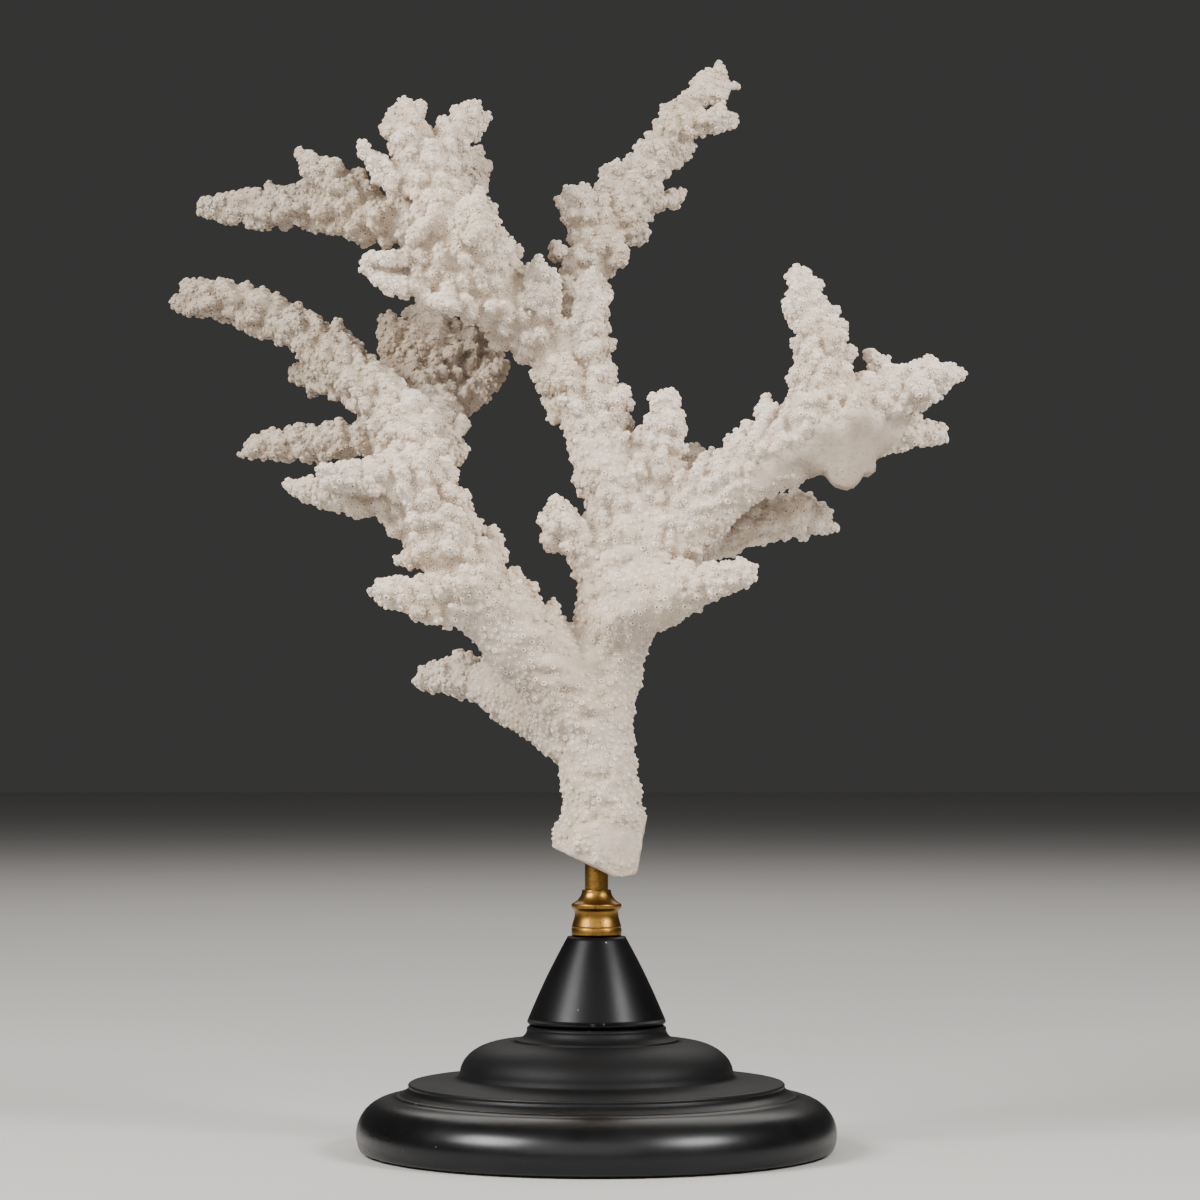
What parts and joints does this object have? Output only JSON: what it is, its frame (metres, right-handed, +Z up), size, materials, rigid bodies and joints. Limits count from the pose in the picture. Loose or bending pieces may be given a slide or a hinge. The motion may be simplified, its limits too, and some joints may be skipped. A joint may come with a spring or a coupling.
{
  "type": "mounted coral branch",
  "caption": "Branching white coral skeleton on a brass rod and collar, standing on a turned black wooden foot, for display on a shelf or table.",
  "frame": {"origin": "centre of the underside of the wooden base, on the stand's turning axis", "axes": "+Z up along the turned stand and the rod, -Y toward the front, the widest spread of the coral along X"},
  "size_m": [0.2184, 0.131, 0.3036],
  "materials": {
    "coral_trunk": "matte",
    "coral_left_limb": "matte",
    "coral_left_branch": "matte",
    "coral_rear_cluster": "matte",
    "coral_crown": "matte",
    "coral_top_left_branch": "matte",
    "coral_top_right_branch": "matte",
    "coral_right_limb": "matte",
    "coral_upright_branch": "matte",
    "coral_rear_lobe": "matte",
    "coral_lower_finger": "matte",
    "coral_right_finger": "matte",
    "coral_middle_finger": "matte",
    "coral_high_finger": "matte",
    "stand_base": "gloss black lacquer",
    "stand_cone": "satin black lacquer",
    "brass_collar": "aged satin",
    "brass_rod": "aged satin"
  },
  "bodies": {
    "root": {"coral_trunk": "coral_trunk", "coral_left_limb": "coral_left_limb", "coral_left_branch": "coral_left_branch", "coral_rear_cluster": "coral_rear_cluster", "coral_crown": "coral_crown", "coral_top_left_branch": "coral_top_left_branch", "coral_top_right_branch": "coral_top_right_branch", "coral_right_limb": "coral_right_limb", "coral_upright_branch": "coral_upright_branch", "coral_rear_lobe": "coral_rear_lobe", "coral_lower_finger": "coral_lower_finger", "coral_right_finger": "coral_right_finger", "coral_middle_finger": "coral_middle_finger", "coral_high_finger": "coral_high_finger", "stand_base": "stand_base", "stand_cone": "stand_cone", "brass_collar": "brass_collar", "brass_rod": "brass_rod"}
  },
  "joints": []
}
